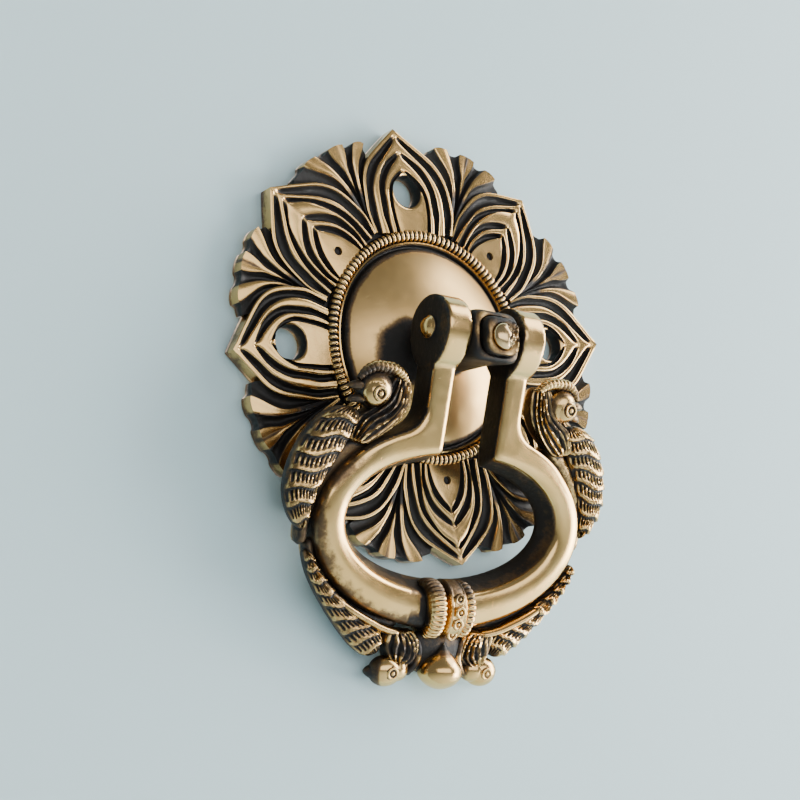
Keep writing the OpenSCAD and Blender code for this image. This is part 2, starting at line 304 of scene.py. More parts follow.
def fan(which):
    """The small ribbed leaf between two petals, its sides drawn along with theirs."""
    angle, rows = 45 * which + 22.5, 46
    edge = petal_line(RIM, np.linspace(0, 1, 200))
    edge_r = np.hypot(edge[:, 0], edge[:, 1])
    edge_a = np.arctan2(edge[:, 0], edge[:, 1])
    t = np.linspace(0, 1, rows)
    r_in, r_out = 28.4, 47.6
    lobe = rng.uniform(-0.4, 0.4, 3)

    def half_angle(r):
        return np.maximum(math.radians(22.5) - np.interp(r, edge_r, edge_a) + 0.45 / r, 0.35 / r)

    # shares of the half width, where the ribs and grooves change, from the middle to the petal's edge
    nominal = r_in + t * (r_out - r_in)
    w = half_angle(nominal) * nominal
    rib = 0.33 + 1.35 * smooth(39, r_out, nominal) ** 1.5
    mid = 0.30 * smooth(38, 41.5, nominal) + 1.5 * smooth(41.5, r_out, nominal)
    at = 0.43 * w
    c1 = np.minimum(mid, 0.2 * w) / w
    c2 = np.maximum(at - rib, 0.27 * w) / w
    c3 = np.minimum(at + rib, 0.68 * w) / w
    shares = [np.zeros(rows), c1, c2, c3, np.ones(rows)]
    sink = 0.35 * (1 - smooth(33, 40, nominal))[:, None]
    # half of the fan, from its middle outward: a flat, a groove, the rib, and the groove along the petal
    strips = []
    for i, cut in enumerate(([0, 0.4, 0.8], GROOVE_SHARES, FLAT_SHARES, GROOVE_SHARES)):
        cut = np.array(cut)[None]
        q = shares[i][:, None] * (1 - cut) + shares[i + 1][:, None] * cut
        width = (shares[i + 1] - shares[i]) * w
        e = np.abs(2 * cut - 1)
        if i in (1, 3):
            end = 1 - (0.75 + 0.2 * lobe[i % 3]) * smooth(45.4, 47.5, nominal)
            d = groove_depth(width * end)[:, None] * (1 - e**2.6)
        else:
            d = np.minimum(0.12, 0.15 * width)[:, None] * e**4
        strips.append(np.stack([q, d + sink], -1))
    strips.append(np.stack([np.ones((rows, 1)), sink], -1))
    right = np.concatenate(strips, 1)
    left = right[:, ::-1] * [-1, 1]
    sheet = np.concatenate([left[:, :-1], right], 1)
    q, d = sheet[..., 0], sheet[..., 1]
    # the outer edge: an arc that falls off to the sides, notched by the grooves, wavy and leaning
    rim = FAN_R - 2.6 * np.abs(q) ** 2 - 1.6 * np.abs(q) ** 6 + 0.4 * lobe[0] - 0.5 * smooth(0.1, 0.8, d)
    rim = rim + 0.2 * np.cos(2 * np.pi * q / 0.43) + FAN_LEAN[which] * q * np.abs(q) ** 0.5
    r = r_in + t[:, None] * (rim - r_in)
    a = math.radians(angle) + q * half_angle(r)
    pts = np.stack([r * np.cos(a), -PLATE_T + 0.12 + d, r * np.sin(a)], -1)
    for k, share in ((which, np.clip(-q, 0, 1) ** 1.5), (which + 1, np.clip(q, 0, 1) ** 1.5)):
        own = turned(pts, 90 - 45 * k)
        x, u = skewed(own[..., 0], own[..., 2], k % 8)
        moved = turned(np.stack([x, own[..., 1], u], -1), 45 * k - 90)
        pts = pts + (moved - pts) * share[..., None]
    pts = pts.reshape(-1, 3)
    pts[:, 1] += 0.04 * waver(pts * [1, 0, 1] + angle, 9)
    pts = turned(pts, ROSETTE_TURN)
    ob = new_object("fan", pts, grid_faces(*q.shape))
    return close_to_back(ob)


def dome_y(r):
    """Height of the dome's skin at radius r."""
    ball = (DOME_R**2 + DOME_RISE**2) / (2 * DOME_RISE)
    return -(PLATE_T + DOME_RISE) + ball - np.sqrt(ball**2 - np.asarray(r, float) ** 2)


def rosette_disc():
    """The dome, the moat and thin lip round it, and the disc the petals grow from, hollow behind the dome."""
    profile = [(x, dome_y(x)) for x in np.linspace(0, DOME_R, 40)]
    profile += [(22.6, -3.6), (22.75, -2.9), (23, -2.7), (23.3, -2.75), (23.5, -3.5), (23.65, -3.95)]
    profile += [(23.85, -4.15), (24.1, -4.05), (24.3, -3.6), (24.4, -3), (25.5, -2.7), (27.4, -2.6)]
    profile += [(28.7, -2.55), (28.7, 0), (HOLLOW_R, 0)]
    ball = (HOLLOW_R**2 + HOLLOW_D**2) / (2 * HOLLOW_D)
    profile += [(x, ball - HOLLOW_D - math.sqrt(ball**2 - x**2)) for x in np.linspace(HOLLOW_R, 8, 14)[1:]]
    profile += [(7.4, -HOLLOW_D), (0, -HOLLOW_D)]
    return lathe("rosette_disc", profile)


def build_rosette():
    """Disc, petals and fans as one solid, with the screw holes, the dots and the stud's hole cut out."""
    solids, cutters = [rosette_disc()], []
    for i in range(8):
        solids.append(petal(HOLED if i in HOLED_PETALS else DOTTED, i))
        solids.append(fan(i))
    for i in range(8):
        holed = i in HOLED_PETALS
        at, rad = (HOLE_AT, HOLE_R) if holed else (DOT_AT, DOT_R)
        x, u = skewed(0, at, i)
        c = turned(np.array([x, 0, u]), 45 * i - 90 + ROSETTE_TURN)[[0, 2]]
        if holed:
            shape = [(0, -6), (rad + 0.9, -6), (rad + 0.9, -4.1), (rad + 0.25, -3.85)]
            shape += [(rad, -3.5), (rad, 1), (0, 1)]
        else:
            shape = [(0, -5), (rad, -5), (rad, -3.9), (rad * 0.8, -3.2), (0, -2.9)]
        cutters.append(lathe("cutter", shape, 48, c))
    cutters.append(lathe("cutter", [(0, -12), (3.35, -12), (3.35, -7), (0, -7)], 48, (0, STUD_Z)))
    return join_solids("rosette", solids, cutters)


def build_bead_ring():
    """The rope-like ring of small bars round the dome."""
    n, m = BEADS * 9, 20
    a = full_turn(n)[:, None]
    b = full_turn(m)[None]
    phase = BEADS * a + 0.9 * np.sin(5 * a + 1) + 0.5 * np.sin(11 * a) + 0.35 * np.sin(b)
    bar = np.abs(np.cos(phase / 2)) ** 0.45
    front = smooth(-0.5, 0.4, -np.sin(b))
    size = 1 - (0.5 * (1 - bar)) * front + 0.04 * np.sin(7 * a + 2) * front
    rr = BEAD_AT + 1.3 * size * np.sign(np.cos(b)) * np.abs(np.cos(b)) ** 0.8
    y = BEAD_Y + 1.35 * size * np.sin(b)
    pts = np.stack([rr * np.cos(a), y + 0 * a, rr * np.sin(a)], -1)
    return new_object("bead_ring", pts.reshape(-1, 3), grid_faces(n, m, True, True))


# ---- knocker ring
# Drawn hanging straight down from the pin, which is the origin; hung() then tips it back against the door.
TILT = math.radians(16)
PIN_AT = np.array([0.5, -21, -1])   # the ring rests against one side of the post's play
OPEN_W, OPEN_H, OPEN_Z = 28, 14.9, -40.6
BAND_W, BAND_H, BAND_Z = 35, 22.2, -41.4
BAND_FRONT, BAND_BACK = -3.9, 3.6
NECK_IN, NECK_OUT, EAR_OUT, EAR_R = 7, 12.7, 13.1, 7.1


def tipped(p, angle):
    """Points turned about the x axis."""
    y, z = p[..., 1], p[..., 2]
    c, s = math.cos(angle), math.sin(angle)
    return np.stack([p[..., 0], y * c - z * s, y * s + z * c], -1)


def hung(p):
    """Points of the straight-hanging ring moved to where it rests."""
    return tipped(p, TILT) + PIN_AT


def unhung(p):
    """The way back from hung()."""
    return tipped(p - PIN_AT, -TILT)


def soft_max(a, b, k):
    """The larger of two values, rounded off where they cross over the width k."""
    h = np.maximum(k - np.abs(a - b), 0) / k
    return np.maximum(a, b) + h * h * k / 4


def soft_min(a, b, k):
    return -soft_max(-a, -b, k)


def ellipse(x, z, a, b):
    """Distance to an ellipse's edge, negative inside, exact near the edge."""
    k = np.sqrt((x / a) ** 2 + (z / b) ** 2) + 1e-9
    slope = np.sqrt((x / a**2) ** 2 + (z / b**2) ** 2) / k + 1e-9
    return (k - 1) / slope


def band_solid(p):
    """Signed distance to the bare ring: an oval band open at the top, two necks and two ears for the pin."""
    x, y, z = np.abs(p[:, 0]), p[:, 1], p[:, 2]
    inside = ellipse(x, z - OPEN_Z, OPEN_W, OPEN_H)
    outside = ellipse(x, z - BAND_Z, BAND_W, BAND_H)
    inner = inside + 2.3 * smooth(BAND_FRONT + 1, BAND_BACK, y)
    body = soft_min(outside, np.maximum(x - NECK_OUT, np.maximum(z + 2, -30 - z)), 5)
    gap = -np.maximum(x - NECK_IN, -30.0 - z)
    flat = soft_max(soft_max(body, -inner, 0.9), gap, 0.8)
    across = np.clip((inside + outside) / (inside - outside + 1e-6), -1, 1) * smooth(-22, -30, z)
    front = BAND_FRONT + 0.85 * across**2 - y
    back = y - BAND_BACK + 0.5 * across**2
    bar = soft_max(flat, soft_max(front, back, 1), 1.5)
    ear = np.hypot(y, np.where(z < 0, 0.8 * z, z)) - EAR_R
    ear = soft_max(ear, np.maximum(x - EAR_OUT, NECK_IN - x), 0.6)
    return soft_min(bar, ear, 0.4)


def voxel_mesh(name, solid, low, high, size):
    """A closed mesh of the surface where solid(points) is zero."""
    low, high = np.array(low, float), np.array(high, float)
    n = np.ceil((high - low) / size).astype(int) + 1
    axes = [low[i] + size * np.arange(n[i]) for i in range(3)]
    pts = np.stack(np.meshgrid(*axes, indexing="ij"), -1).reshape(-1, 3)
    field = np.concatenate([solid(c) for c in np.array_split(pts, 24)])
    grid = openvdb.FloatGrid(float(3 * size))
    grid.copyFromArray(np.clip(field, -3 * size, 3 * size).reshape(n).astype(np.float32))
    grid.transform = openvdb.createLinearTransform(size)
    found = grid.convertToQuads(0)
    pts, quads = np.asarray(found[0], float) + low, np.asarray(found[1])
    for _ in range(3):
        here, e = solid(pts), 0.02
        slope = np.stack([(solid(pts + np.eye(3)[i] * e) - here) / e for i in range(3)], -1)
        step = here[:, None] * slope / (np.sum(slope**2, 1, keepdims=True) + 1e-6)
        pts -= np.clip(step, -0.4 * size, 0.4 * size)
    return new_object(name, hung(pts), quads)


def sided(p, side):
    """Right-hand points put on a side, which is (stretch across, negative for the left; lift)."""
    return hung(p * np.array([side[0], 1, 1]) + np.array([0, 0, side[1]]))


def through(points, t):
    """Smooth path through a few (x, z) points, with t from 0 to 1 along it."""
    points = np.asarray(points, float)
    k = np.linspace(0, 1, len(points))
    return np.stack([curve(k, points[:, 0], t), curve(k, points[:, 1], t)], -1)


def spread(values, t):
    """One value, or several spread evenly along the way, read off at t."""
    values = np.atleast_1d(np.asarray(values, float))
    return np.interp(t, np.linspace(0, 1, len(values)), values)


def loft(name, inner, outer, steps, thick, mid_y, carve, around, square, side):
    """A closed body between two edge paths. carve(t, across, front) is how far its skin stands out."""
    t = np.linspace(0, 1, steps)
    to_end = np.minimum(np.minimum(t, 1 - t) / 0.06, 1)
    end = np.maximum(np.sqrt(1 - (1 - to_end) ** 2), 0.15)
    a, b = through(inner, t), through(outer, t)
    v = full_turn(around)
    cx = np.sign(np.cos(v)) * np.abs(np.cos(v)) ** square
    cy = np.sign(np.sin(v)) * np.abs(np.sin(v)) ** square
    half = (b - a) / 2
    width = np.linalg.norm(half, axis=1)
    flat = 0 * np.outer(t, v)
    h = carve(t[:, None] + flat, cx + flat, smooth(0.15, 0.6, -np.sin(v)) + flat)
    thick = spread(thick, t)
    nx, ny = cx[None] / width[:, None], cy[None] / thick[:, None]
    scale = np.hypot(nx, ny) + 1e-9
    along = (cx[None] + h * nx / scale / width[:, None]) * end[:, None]
    centre = (a + b) / 2
    x = centre[:, :1] + half[:, :1] * along
    z = centre[:, 1:] + half[:, 1:] * along
    y = mid_y + (thick[:, None] * cy[None] + h * ny / scale) * end[:, None]
    pts = np.stack([x, y, z], -1)
    return new_object(name, sided(pts.reshape(-1, 3), side), tube_faces(steps, around))


def blob(name, centre, radii, rows, around, side=(1, 0), tip=None):
    """A rounded lump. tip=(dx, dz, sharpness) pulls it out to a point."""
    a = np.linspace(0, np.pi, rows)[:, None]
    b = full_turn(around)[None]
    n = np.stack([np.sin(a) * np.cos(b), -np.cos(a) + 0 * b, np.sin(a) * np.sin(b)], -1)
    p = n * np.array(radii)
    if tip is not None:
        d = np.array([tip[0], 0, tip[1]])
        reach = np.clip(n @ (d / np.linalg.norm(d)), 0, 1) ** tip[2]
        p = p * (1 - 0.55 * reach[..., None]) + d * reach[..., None]
    p = p + np.array(centre)
    return new_object(name, sided(p.reshape(-1, 3), side), grid_faces(rows, around, False, True))


def cord(name, path, radius, y, side, notch=None):
    """A cord through (x, z) points, radius and y spread along it; notch(t) scales it for teeth."""
    steps, around = 120, 16
    t = np.linspace(0, 1, steps)
    p = through(path, t)
    d = np.gradient(p, axis=0)
    d /= np.linalg.norm(d, axis=1)[:, None]
    off = np.stack([-d[:, 1], d[:, 0]], -1)
    r = spread(radius, t)
    if notch is not None:
        r = r * notch(t)
    b = full_turn(around)
    out = r[:, None] * np.cos(b)
    y = spread(y, t)[:, None] + 1.15 * r[:, None] * np.sin(b)
    pts = np.stack([p[:, :1] + off[:, :1] * out, y, p[:, 1:] + off[:, 1:] * out], -1)
    return new_object(name, sided(pts.reshape(-1, 3), side), tube_faces(steps, around))


def round_ring(name, centre, r, tube, side=(1, 0)):
    """A small raised ring facing the front, such as round an eye."""
    a = full_turn(28)[:, None]
    b = full_turn(10)[None]
    rr = r + tube * np.cos(b)
    pts = np.stack([rr * np.cos(a), tube * np.sin(b) + 0 * a, rr * np.sin(a)], -1) + np.array(centre)
    return new_object(name, sided(pts.reshape(-1, 3), side), grid_faces(28, 10, True, True))


# left and right differ a little: (stretch across, lift)
SIDES_TOP = (1, 0.8), (-1.02, -1.2)
SIDES_LOW = (1, 0), (-1, 0.2)
# the middle of the polished cheek on a right-hand bird, (x, z)
TOP_FACE, LOW_FACE = (25.2, -13.9), (11.8, -72.5)
BUD_X = 0.4            # the bud hangs a little to the right


def feathers(rows, pitch, length):
    """Overlapping rows of feathers across a wing, each finely hatched above a plain edge and a slit."""

    def carve(t, across, front):
        u = t * rows + 0.12 * np.sin(4 * across + 9 * t)
        f, k = u - np.floor(u), np.floor(u)
        lap = 0.75 * f**1.1 * (1 - smooth(0.88, 0.97, f))
        s = across * length / 2 + 0.37 * k + 0.4 * f
        hatch = 0.5 + 0.5 * np.cos(2 * np.pi * s / pitch)
        band = smooth(0.05, 0.15, f) * (1 - smooth(0.55, 0.7, f))
        return front * (lap - 0.6 * band * (1 - hatch**0.6) - 0.3)

    return carve


def plumes(count, depth, thin=2.2):
    """Long feathers that run down a neck: thin ridges with wide cuts between."""

    def carve(t, across, front):
        s = (across * 0.5 + 0.5) * count + 0.35 * np.sin(5 * t + 3 * across)
        ridge = np.abs(np.sin(np.pi * s)) ** thin
        fade = smooth(0, 0.12, t) * (1 - smooth(0.9, 1, t))
        return front * depth * (ridge - 0.8) * fade

    return carve


def plain(t, across, front):
    """No carving."""
    return 0 * t


def bird_top(side):
    """The upper bird: head by the ear, wing down along the outside of the ring."""
    wing_in = [
        (26.6, -18.2), (27.5, -20.6), (28.7, -23.4), (30.2, -26.4), (32, -29.4),
        (33.5, -32.6), (34.6, -35.8), (35.3, -39), (35.9, -42.4),
    ]
    wing_out = [
        (31.5, -16.8), (36, -19.7), (39, -23.6), (40.8, -27.4), (41.7, -31),
        (41.9, -34.4), (41.2, -37.6), (39.6, -40.6), (37, -43.2),
    ]
    neck_in = [
        (16.6, -9.8), (16, -12.6), (16.3, -15.6), (17.6, -18.4), (19.6, -20.8), (22.2, -23), (25.2, -25.2),
    ]
    neck_out = [
        (20.8, -9.6), (22, -12.4), (23.2, -15.2), (25.4, -17.2), (28, -18.8), (29.4, -21.4), (29.8, -24.2),
    ]
    web_in = [(21.5, -23.4), (25.2, -26.2), (28.8, -29.4), (32, -33.4), (34, -38), (34.7, -42), (34.6, -46)]
    web_out = [(25, -21), (28.8, -24), (32.2, -27.8), (35.2, -32.4), (36.8, -37.5), (37.2, -42), (36.8, -46.4)]
    crest = [(17.6, -10.8), (19.4, -9.3), (22, -8.5), (25, -8.5), (27.5, -9.7), (29, -11.5)]
    x, z = TOP_FACE

    def teeth(t):
        return 0.84 + 0.2 * np.abs(np.sin(np.pi * 14 * t + 0.8)) ** 0.6

    return [
        loft("wing", wing_in, wing_out, 104, [2.2, 3, 3.2, 3.1, 3, 2.8, 2.5, 2], -0.7,
             feathers(7.6, 1.1, 11), 116, 0.92, side),
        loft("breast", neck_in, neck_out, 60, [2.2, 2.8, 3.1, 3.2, 3.1, 2.8, 2.4], -0.4,
             plumes(6, 0.95), 104, 0.75, side),
        loft("web", web_in, web_out, 36, 2.2, 0.7, plain, 24, 0.8, side),
        blob("head", (x - 0.5, -1.1, z + 0.6), (4, 3.2, 4), 30, 48, side),
        blob("face", (x, -2.3, z), (2.9, 2.5, 2.9), 20, 36, side),
        cord("crest", crest, [0.8, 1.2, 1.3, 1.25, 1, 0.6], [-1.8, -2, -2, -1.8], side, teeth),
        blob("beak", (28.6, -1.5, -12.9), (2.4, 1.3, 1.05), 16, 24, side, (1.6, -0.3, 2)),
        blob("beak_low", (28.3, -1.5, -15.5), (2.3, 1.2, 0.85), 14, 20, side, (1.4, -0.7, 2)),
        round_ring("eye_ring", (x, -4.75, z), 1.3, 0.3, side),
        blob("eye", (x, -4.7, z), (0.6, 0.45, 0.6), 10, 14, side),
    ]


def bird_low(side):
    """The lower bird: wing down along the ring, head beside the bud."""
    wing_in = [
        (34.7, -48.2), (33.4, -50.4), (31.4, -52.8), (28.6, -55.4), (24.8, -58),
        (20.4, -60.6), (16.6, -62.4), (14.4, -64.8), (14, -68.2),
    ]
    wing_out = [
        (36.4, -48.4), (35.5, -50.8), (34.2, -53.4), (32.2, -56.4), (29.8, -59.4),
        (26.8, -62.8), (23.8, -65.8), (20.9, -68.2), (17.2, -70.4),
    ]
    back_in = [(29.5, -55), (26, -57.6), (22.4, -59.5), (18.6, -61.2), (15, -62.6), (10.5, -63.6)]
    back_out = [(30.6, -56.4), (27, -59.1), (23.4, -61.2), (19.4, -63), (15.2, -64.6), (10.5, -65.6)]
    web_in = [(33.9, -45.5), (32.9, -49), (30.6, -52), (27.4, -55.3), (23, -58.2), (17, -60.6), (9, -62)]
    web_out = [
        (36, -46.6), (34.6, -50.6), (32.6, -53.8), (29.4, -57.2), (24.8, -60.4), (18.8, -62.8), (10, -64.8),
    ]
    neck_in = [(7.5, -63.6), (6, -65), (5.4, -67), (5.6, -69), (7, -70.6), (9, -71.8)]
    neck_out = [(14.6, -64), (14.4, -65.8), (14, -67.4), (13.4, -69), (12.8, -70.2), (12, -71.2)]
    crest = [(8, -64.4), (5.9, -66.6), (5.3, -69.2), (6.4, -71.8), (8.8, -73.6)]
    x, z = LOW_FACE
    return [
        loft("wing", wing_in, wing_out, 96, [1.6, 2.2, 2.6, 2.9, 3, 3, 2.9, 2.4], -1,
             feathers(9.6, 1, 8), 100, 0.92, side),
        loft("back", back_in, back_out, 40, [2, 2.9, 3.3, 3.4, 3.4, 3.2], -0.9, plain, 36, 0.8, side),
        loft("web", web_in, web_out, 36, 2, 0.8, plain, 24, 0.8, side),
        loft("neck", neck_in, neck_out, 44, [2.2, 2.8, 3, 3, 2.8], -1.8,
             plumes(6, 0.9, 1.6), 100, 0.75, side),
        blob("head", (x + 0.9, -2.5, z - 0.1), (3.9, 2.9, 3.3), 30, 48, side),
        blob("cheek", (x - 1.4, -2.6, z + 0.2), (3.2, 2.5, 2.6), 20, 32, side),
        blob("beak", (15.4, -1.9, -72.9), (2, 1.5, 1.5), 14, 20, side, (1.5, 0.1, 2)),
        cord("crest", crest, [0.5, 0.8, 0.9, 0.85, 0.5], [-2.6, -3.1, -3.2, -3], side),
        round_ring("eye_ring", (x + 0.7, -5.3, z), 1.1, 0.3, side),
        blob("eye", (x + 0.7, -5.3, z), (0.52, 0.42, 0.52), 10, 14, side),
    ]


COLLAR_Y, COLLAR_Z = -1.5, -59.2   # the middle of the bar under the collars


def collar(name, x0, x1, y_r, z_r, bulge, marks, depth, slant, lip=0):
    """A band round the bar at the bottom of the ring; marks, if not 0, is its number of bars."""
    around = 220
    u = np.linspace(-1, 1, 15)[:, None]
    a = full_turn(around)[None]
    out = bulge * np.sqrt(np.clip(1 - np.abs(u) ** 3, 0, 1))
    if marks:
        out = out - depth * (1 - np.abs(np.cos(marks * a / 2)) ** 0.5) * np.sqrt(np.clip(1 - u**2, 0, 1))
    out = out + lip * smooth(0.55, 0.8, np.abs(u)) * (1 - smooth(0.88, 1, np.abs(u)))
    ry, rz = y_r + out, z_r + out
    x = (x0 + x1) / 2 + u * (x1 - x0) / 2 + slant * np.sin(a)
    pts = np.stack([x + 0 * a, -(ry + COLLAR_Y) * np.cos(a), rz * np.sin(a)], -1)
    pts = np.concatenate([pts, pts[::-1] * [1, 0.55, 0.55]], 0) + np.array([0, COLLAR_Y, COLLAR_Z])
    return new_object(name, hung(pts.reshape(-1, 3)), grid_faces(30, around, True, True))


def build_ring_band():
    """The bare ring with the three collars and the plain one's ringed dots."""
    parts = [voxel_mesh("ring_band", band_solid, (-37, -8, -66), (37, 8, 9), 0.5)]
    parts.append(collar("knurled", -5.5, -1.1, 5.3, 4.9, 1.7, 34, 0.6, -0.5))
    parts.append(collar("plain", -0.9, 3.7, 5.6, 5.2, 1.3, 0, 0, -0.35, 0.35))
    parts.append(collar("beaded", 3.8, 6.5, 5.1, 4.7, 1.5, 26, 0.8, -0.3))
    for i, z in enumerate((-56, -58.7, -61.4, -64)):
        at = (1.2 + 0.1 * i, -0.2 - 7.0 * math.sqrt(1 - ((z - COLLAR_Z) / 6.6) ** 2), z)
        parts.append(round_ring("dot_ring", at, 1, 0.34))
        parts.append(blob("dot", at, (0.42, 0.4, 0.42), 9, 12))
    return join_solids("ring_band", parts)


def build_bud():
    """The bud at the bottom, with the web behind it and the small berries beside it."""
    z = np.array([-65.8, -66.8, -68, -69.4, -71, -72.6, -74, -75, -75.7, -75.9])
    r = np.array([0, 0.7, 1.9, 3.6, 4.8, 5, 4.3, 3.1, 1.6, 0])
    rows, around = 30, 44
    p = through(np.stack([r, z], -1), np.linspace(0, 1, rows))
    b = full_turn(around)
    x, y = np.outer(p[:, 0], np.cos(b)), np.outer(p[:, 0], np.sin(b))
    pts = np.stack([BUD_X + x, -4.1 + 0.9 * y, p[:, 1:] + 0 * x], -1)
    parts = [new_object("bud", hung(pts.reshape(-1, 3)), grid_faces(rows, around, False, True))]
    parts.append(blob("web", (0, -1.3, -68.4), (8.4, 2.9, 5.2), 24, 40))
    for side in SIDES_LOW:
        for x, z, r in ((6.6, -70.6, 1), (6.9, -72.7, 0.9)):
            parts.append(blob("berry", (x, -2.6, z), (r, r, r), 12, 16, side))
    return parts


# ---- post, nut, stud and pin
PIN_HOLE_R = 1.9


def sag(y):
    """The post and what it carries droop slightly towards the front."""
    return -2.4 * np.clip((-9 - np.asarray(y, float)) / 22, 0, 2) ** 1.8


def along_y(name, stations, loop, around, rough):
    """A solid along y from (y, half width, half height, squareness); loop joins the last to the first."""
    a = full_turn(around)
    rows = []
    for y, w, h, n in stations:
        r = (np.abs(np.cos(a) / w) ** n + np.abs(np.sin(a) / h) ** n) ** (-1 / n)
        rows.append(np.stack([0.2 * sag(y) + r * np.cos(a), y + 0 * a, STUD_Z + sag(y) + r * np.sin(a)], -1))
    pts = np.stack(rows)
    pts = pts + rough(pts)
    faces = grid_faces(len(rows), around, True, True) if loop else tube_faces(len(rows), around)
    return new_object(name, pts.reshape(-1, 3), faces)


def along_x(name, profile):
    """A solid of revolution about the hinge axis from (x, radius)."""
    around = 64
    a = full_turn(around)
    x, r = np.array(profile, float).T
    pts = np.stack([np.tile(x, (around, 1)), np.outer(np.cos(a), r), np.outer(np.sin(a), r)], -1)
    pts = pts + PIN_AT * [0, 1, 1]
    return new_object(name, pts.reshape(-1, 3), grid_faces(around, len(x), True, False))


def pin_cutter():
    """The cross hole for the pin."""
    return along_x("cutter", [(-9, 0), (-9, PIN_HOLE_R), (9, PIN_HOLE_R), (9, 0)])


def unevenness(p, size):
    """waver() for an array of points of any shape, as (..., 1)."""
    return waver(p.reshape(-1, 3), size).reshape(p.shape[:-1])[..., None]


def from_stud(p, y):
    """Offsets (x, z) of points from the sagging stud's axis at depth y."""
    return p[..., 0] - 0.2 * sag(y), p[..., 2] - STUD_Z - sag(y)


def build_post():
    """The square post, hollow for the stud, its front edge rounded by wear."""
    outer = [(y, 6.05, 5.5, 5.5) for y in np.linspace(-8.6, -26.4, 22)]
    outer += [(-27.3, 6, 5.45, 5), (-27.9, 5.85, 5.3, 4.4), (-28.3, 5.6, 5.05, 3.8), (-28.55, 5.25, 4.75, 3.4)]
    outer += [(-28.6, 4.95, 4.55, 3.1), (-28.5, 4.8, 4.45, 2.9), (-28, 4.65, 4.3, 2.7), (-27.7, 4.4, 4.1, 2.5)]
    outer += [(-27.65, 3.6, 3.6, 2.2), (-27.65, 3.3, 3.3, 2)]
    outer += [(y, 3.3, 3.3, 2) for y in (-24, -20, -16, -12, -8.6)]

    def hammered(p):
        n = np.stack([p[..., 0], 0 * p[..., 0], p[..., 2] + 1.5], -1)
        reach = np.linalg.norm(n, axis=-1, keepdims=True)
        return n / reach * 0.09 * unevenness(p, 6) * (reach > 3.6)

    post = along_y("hinge_post_worn", outer, True, 150, hammered)
    return join_solids("hinge_post_worn", [post], [pin_cutter()])


def build_nut():
    """The square nut, rounded by wear, with a torn edge on the right."""
    rows = [(-27.9, 4.1, 4, 4.5), (-29, 4.15, 4.05, 4.5), (-29.9, 4.15, 4.05, 4.2), (-30.3, 4.05, 3.95, 4)]
    rows += [(-30.6, 3.85, 3.75, 3.6), (-30.75, 3.5, 3.4, 3), (-30.75, 3.2, 3.2, 2.4), (-30.65, 3.05, 3.05, 2)]
    rows += [(-30.5, 2.96, 2.96, 2), (-27.9, 2.96, 2.96, 2)]

    def worn(p):
        push = 0.13 * unevenness(p, 3.2)[..., 0]
        torn = smooth(1.2, 3.2, p[..., 0]) * smooth(-29.6, -30.4, p[..., 1])
        rag = np.sin(9 * p[..., 2] + 3) * np.sin(5 * p[..., 0] + 7 * p[..., 2])
        outside = smooth(3, 3.3, np.hypot(*from_stud(p, -30)))[..., None]
        return np.stack([push, 0.4 * torn * rag - 0.25 * torn + 0.5 * push, 0.7 * push], -1) * outside

    return along_y("clamp_nut_worn", rows, True, 128, worn)


def build_stud():
    """The threaded stud with its front end hammered over, cracked and burred."""
    rows = [(-0.7, 2.6, 2.6, 2)]
    for i in range(1, 44):
        r = 3.05 + 0.12 * (-1) ** i
        rows.append((-0.7 - 0.34 * i, r, r, 2))
    rows += [(y, 2.88, 2.88, 2) for y in (-16, -24, -29.6, -30.5)]
    rows.append((-30.85, 2.86, 2.86, 2))
    for t in np.linspace(0.12, 1, 12)[:-1] * math.pi / 2:
        r = 2.86 * math.cos(t) + 0.02
        rows.append((-30.85 - 1.5 * math.sin(t), r, r, 2))

    def cracked(p):
        x, z = from_stud(p, -31)
        a, r = np.arctan2(z, x), np.hypot(x, z)
        tip = smooth(-30.6, -31, p[..., 1])
        right = smooth(0.5, 1.1, x)
        split = np.exp(-(((x - 0.75 - 0.35 * np.sin(2.1 * z + 1)) / 0.22) ** 2))
        spoke = np.mod(a * 1.5 + 0.9 + 0.25 * np.sin(3 * r), np.pi) - 1.57
        crack = np.exp(-((spoke / 0.15) ** 2)) * smooth(0.8, 1.8, r)
        lumps = 0.4 * np.sin(4.7 * x + 1.7 * z + 1) * np.sin(4.3 * z - x)
        back = tip * (0.42 * split + 0.4 * crack * right + right * (0.3 + lumps))
        return np.stack([0 * x, back, 0 * x], -1)

    stud = along_y("stud_hammered", rows, False, 96, cracked)
    return join_solids("stud_hammered", [stud], [pin_cutter()])


def build_pin():
    """The cross pin, both ends hammered into low heads on the ears."""
    head = [(14.95, 0), (14.88, 0.6), (14.65, 1.25), (14.3, 1.75), (14, 1.95), (13.8, 2.1)]
    head += [(13.65, 2.35), (13.4, 2.5), (13.14, 2.5), (13.13, 1.78)]
    profile = [(PIN_AT[0] - x, r) for x, r in head] + [(PIN_AT[0] + x, r) for x, r in reversed(head)]
    return along_x("hinge_pin_peened", profile)


def carved_patina(ob):
    """How hollow the skin is at each point, against the average of its surroundings at three scales."""
    mesh = ob.data
    n = len(mesh.vertices)
    p = points_of(ob)
    edges = np.empty(len(mesh.edges) * 2, np.int64)
    mesh.edges.foreach_get("vertices", edges)
    a, b = edges.reshape(-1, 2).T
    count = np.bincount(a, minlength=n) + np.bincount(b, minlength=n)
    count = np.maximum(count, 1)[:, None]

    def average(q):
        total = np.zeros_like(q)
        for i in range(q.shape[1]):
            total[:, i] = np.bincount(a, q[b, i], n) + np.bincount(b, q[a, i], n)
        return total / count

    normals = np.empty(n * 3, np.float32)
    mesh.vertices.foreach_get("normal", normals)
    normals = normals.reshape(-1, 3).astype(float)
    q, total = p, np.zeros(n)
    for rounds in (3, 9, 20):
        for _ in range(rounds):
            q = average(q)
        total += np.sum((q - p) * normals, 1)
    return total


